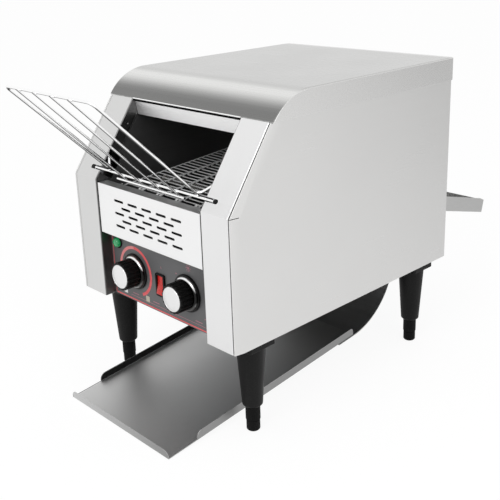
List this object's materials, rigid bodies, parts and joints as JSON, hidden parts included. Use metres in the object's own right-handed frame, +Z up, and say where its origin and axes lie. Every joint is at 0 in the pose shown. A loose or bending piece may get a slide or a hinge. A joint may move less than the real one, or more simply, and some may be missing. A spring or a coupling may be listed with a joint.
{
  "type": "conveyor toaster",
  "caption": "Countertop conveyor toaster: stainless housing on black legs, tilted wire bread rack, mesh belt, two control knobs, front exit tray and rear tray.",
  "frame": {"origin": "below the middle of the whole assembly, rack and trays included, at the height of the table", "axes": "+X to the right hand of someone facing the controls, +Y from the front to the rear, +Z up"},
  "size_m": [0.288, 0.645, 0.4006],
  "materials": {
    "satin_stainless": "satin",
    "tray_steel": "satin",
    "chamber_steel": "satin, darkened by heat",
    "zinc_steel": "dull zinc plate",
    "bright_wire": "bright",
    "belt_wire": "drawn wire",
    "shaft_steel": "ground",
    "panel_black": "satin printed sheet",
    "knob_black": "gloss",
    "knob_silver": "bright",
    "knob_face": "satin",
    "leg_black": "fine grain",
    "foot_black": "matt",
    "switch_black": "satin",
    "switch_red": "gloss",
    "lamp_body": "satin",
    "lamp_green": "gloss",
    "quartz": "clear",
    "ceramic": "unglazed",
    "brass_bush": "sintered",
    "motor_case": "satin",
    "chain_steel": "oiled",
    "terminal_white": "satin"
  },
  "bodies": {
    "housing": {"base_plate": "zinc_steel", "chamber_roof": "chamber_steel", "control_panel": "panel_black", "conveyor_belt": "belt_wire", "cord_gland": "switch_black", "drive_chain": "chain_steel", "front_left_leg": "leg_black", "front_right_leg": "leg_black", "gear_motor": "motor_case", "heat_selector": "ceramic", "heat_shield": "chamber_steel", "heater_holders": "ceramic", "left_chamber_wall": "chamber_steel", "left_front_pillar": "satin_stainless", "left_rack_hook": "zinc_steel", "left_side_panel": "satin_stainless", "lower_heaters": "quartz", "motor_bracket": "zinc_steel", "opening_deflector": "chamber_steel", "panel_screws": "shaft_steel", "pilot_lamp": "lamp_body", "pilot_lamp_lens": "lamp_green", "rear_chute": "chamber_steel", "rear_left_leg": "leg_black", "rear_panel": "satin_stainless", "rear_right_leg": "leg_black", "right_chamber_wall": "chamber_steel", "right_front_pillar": "satin_stainless", "right_rack_hook": "zinc_steel", "right_side_panel": "satin_stainless", "rocker_frame": "switch_black", "shaft_bushes": "brass_bush", "speed_control": "motor_case", "terminal_block": "terminal_white", "top_cover": "satin_stainless", "tray_support_rail": "tray_steel", "upper_heaters": "quartz", "vent_front_panel": "satin_stainless"},
    "exit_tray": {"exit_tray": "tray_steel"},
    "rear_tray": {"rear_tray": "tray_steel"},
    "bread_rack": {"bread_rack": "bright_wire", "rack_rod_caps": "switch_black"},
    "drive": {"drive_shaft": "shaft_steel", "drive_sprockets": "zinc_steel", "driven_sprocket": "chain_steel"},
    "idler": {"idler_shaft": "shaft_steel", "idler_sprockets": "zinc_steel"},
    "motor_output": {"motor_sprocket": "chain_steel"},
    "speed_knob": {"speed_knob": "knob_black", "speed_knob_ring": "knob_silver", "speed_knob_cap": "knob_face"},
    "heat_knob": {"heat_knob": "knob_black", "heat_knob_ring": "knob_silver", "heat_knob_cap": "knob_face"},
    "rocker": {"rocker_button": "switch_red"},
    "front_left_foot": {"front_left_foot": "foot_black"},
    "front_right_foot": {"front_right_foot": "foot_black"},
    "rear_left_foot": {"rear_left_foot": "foot_black"},
    "rear_right_foot": {"rear_right_foot": "foot_black"}
  },
  "joints": [
    {"name": "exit_tray_slide", "type": "slide", "parent": "housing", "child": "exit_tray", "axis": [0, -1, 0], "range_m": [0, 0.28]},
    {"name": "rear_tray_slide", "type": "slide", "parent": "housing", "child": "rear_tray", "axis": [0, 0.9664, -0.2571], "range_m": [0, 0.12]},
    {"name": "bread_rack_hinge", "type": "hinge", "parent": "housing", "child": "bread_rack", "pos_m": [0, -0.19674, 0.2798], "axis": [-1, 0, 0], "range_deg": [0, 40]},
    {"name": "drive_spin", "type": "hinge", "parent": "housing", "child": "drive", "pos_m": [0, 0.08177, 0.2601], "axis": [-1, 0, 0], "continuous": true},
    {"name": "idler_spin", "type": "hinge", "parent": "housing", "child": "idler", "pos_m": [0, -0.17223, 0.241], "axis": [-1, 0, 0], "continuous": true},
    {"name": "motor_spin", "type": "hinge", "parent": "housing", "child": "motor_output", "pos_m": [0, -0.00623, 0.17], "axis": [-1, 0, 0], "continuous": true},
    {"name": "speed_turn", "type": "hinge", "parent": "housing", "child": "speed_knob", "pos_m": [-0.049, -0.19623, 0.158], "axis": [0, 1, 0], "range_deg": [0, 270]},
    {"name": "heat_turn", "type": "hinge", "parent": "housing", "child": "heat_knob", "pos_m": [0.049, -0.19623, 0.158], "axis": [0, 1, 0], "range_deg": [0, 270]},
    {"name": "rocker_tip", "type": "hinge", "parent": "housing", "child": "rocker", "pos_m": [0, -0.18963, 0.1535], "axis": [1, 0, 0], "range_deg": [0, 18]},
    {"name": "front_left_foot_screw", "type": "slide", "parent": "housing", "child": "front_left_foot", "axis": [0, 0, -1], "range_m": [0, 0.012]},
    {"name": "front_right_foot_screw", "type": "slide", "parent": "housing", "child": "front_right_foot", "axis": [0, 0, -1], "range_m": [0, 0.012]},
    {"name": "rear_left_foot_screw", "type": "slide", "parent": "housing", "child": "rear_left_foot", "axis": [0, 0, -1], "range_m": [0, 0.012]},
    {"name": "rear_right_foot_screw", "type": "slide", "parent": "housing", "child": "rear_right_foot", "axis": [0, 0, -1], "range_m": [0, 0.012]}
  ],
  "couplings": [
    {"joint": "idler_spin", "follows": "drive_spin", "ratio": 1},
    {"joint": "motor_spin", "follows": "drive_spin", "ratio": 1.5}
  ]
}
